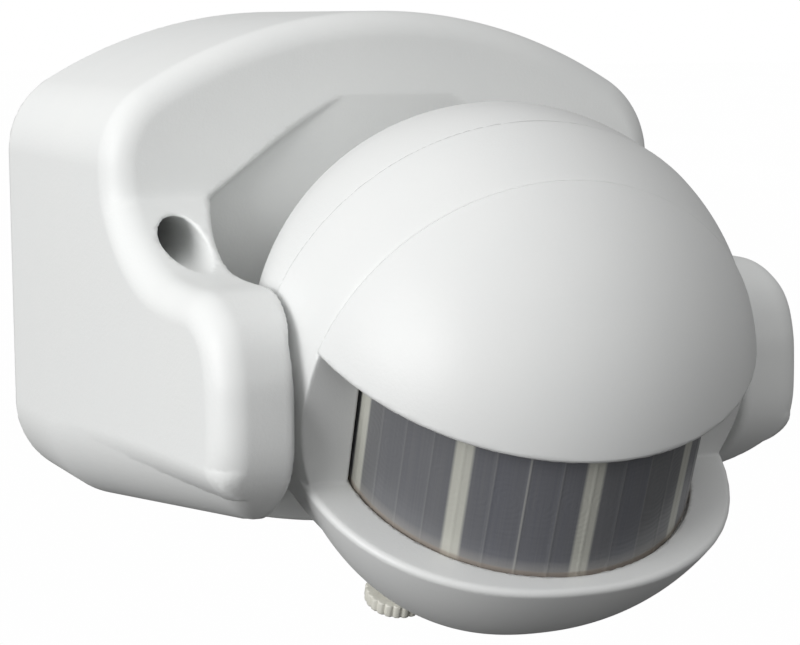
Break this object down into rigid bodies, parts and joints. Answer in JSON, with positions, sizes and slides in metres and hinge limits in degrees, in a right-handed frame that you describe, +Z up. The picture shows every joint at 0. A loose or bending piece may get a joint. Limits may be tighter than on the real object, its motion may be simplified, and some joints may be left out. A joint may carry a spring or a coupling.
{
  "type": "motion sensor",
  "caption": "Wall-mounted infrared motion sensor: a tilting ball head with a hooded curved lens and adjusting knobs, held between the cheeks of a hollow base.",
  "frame": {"origin": "point on the wall plane, at the back of the base, level with the head's tilt axis and midway between the cheeks", "axes": "+Y out of the back, into the wall; the sensor looks along -Y; +Z up; +X to the right of someone who looks along +Y at its front"},
  "size_m": [0.083, 0.1037, 0.0764],
  "materials": {
    "housing_white": "satin moulded",
    "head_white": "satin moulded",
    "lens_grey": "translucent moulded film",
    "frame_ivory": "satin moulded",
    "rubber_black": "matte",
    "steel": "zinc plated",
    "brass": "plain",
    "terminal_grey": "moulded",
    "board_green": "solder mask",
    "relay_blue": "moulded",
    "film_yellow": "moulded",
    "sleeve_black": "sleeve",
    "chip_black": "matte",
    "cell_tan": "coated",
    "lamp_red": "clear tinted",
    "trimmer_blue": "moulded",
    "lead_brown": "insulation",
    "lead_blue": "insulation",
    "lead_red": "insulation"
  },
  "bodies": {
    "base": {"base_housing": "housing_white", "back_plate": "housing_white", "back_plate_seal": "rubber_black", "back_plate_screw_1": "steel", "back_plate_screw_2": "steel", "back_plate_screw_3": "steel", "back_plate_screw_4": "steel", "cable_grommet": "rubber_black", "terminal_block": "terminal_grey", "terminal_screw_1": "steel", "terminal_screw_2": "steel", "terminal_screw_3": "steel", "cable_clamp": "housing_white", "clamp_screw_1": "steel", "clamp_screw_2": "steel", "pivot_washer_left": "brass", "pivot_washer_right": "brass", "lead_brown_base": "lead_brown", "lead_blue_base": "lead_blue", "lead_red_base": "lead_red"},
    "head": {"head_rear_shell": "head_white", "head_front_shell": "head_white", "hood": "head_white", "fresnel_lens": "lens_grey", "lens_frame": "frame_ivory", "circuit_board": "board_green", "sensor_holder": "frame_ivory", "pir_sensor": "steel", "relay": "relay_blue", "film_capacitor": "film_yellow", "electrolytic_1": "sleeve_black", "electrolytic_2": "sleeve_black", "control_chip": "chip_black", "light_cell": "cell_tan", "status_lamp": "lamp_red", "trimmer_lux": "trimmer_blue", "trimmer_sens": "trimmer_blue", "trimmer_time": "trimmer_blue", "pivot_bush_left": "head_white", "pivot_bush_right": "head_white", "pivot_ring_left": "steel", "pivot_ring_right": "steel", "lead_brown_head": "lead_brown", "lead_blue_head": "lead_blue", "lead_red_head": "lead_red", "head_screw_1": "steel", "head_screw_2": "steel", "head_screw_3": "steel"},
    "knob_lux": {"knob_lux": "frame_ivory"},
    "knob_sens": {"knob_sens": "frame_ivory"},
    "knob_time": {"knob_time": "frame_ivory"}
  },
  "joints": [
    {"name": "head_tilt", "type": "hinge", "parent": "base", "child": "head", "pos_m": [0, -0.0697, 0], "axis": [1, 0, 0], "range_deg": [-35, 25]},
    {"name": "knob_lux_turn", "type": "hinge", "parent": "head", "child": "knob_lux", "pos_m": [-0.01347, -0.06779, -0.03102], "axis": [-0.0494, -0.3517, 0.9348], "range_deg": [-135, 135]},
    {"name": "knob_sens_turn", "type": "hinge", "parent": "head", "child": "knob_sens", "pos_m": [0, -0.06968, -0.03102], "axis": [-0.0494, -0.3517, 0.9348], "range_deg": [-135, 135]},
    {"name": "knob_time_turn", "type": "hinge", "parent": "head", "child": "knob_time", "pos_m": [0.01347, -0.07158, -0.03102], "axis": [-0.0494, -0.3517, 0.9348], "range_deg": [-135, 135]}
  ]
}
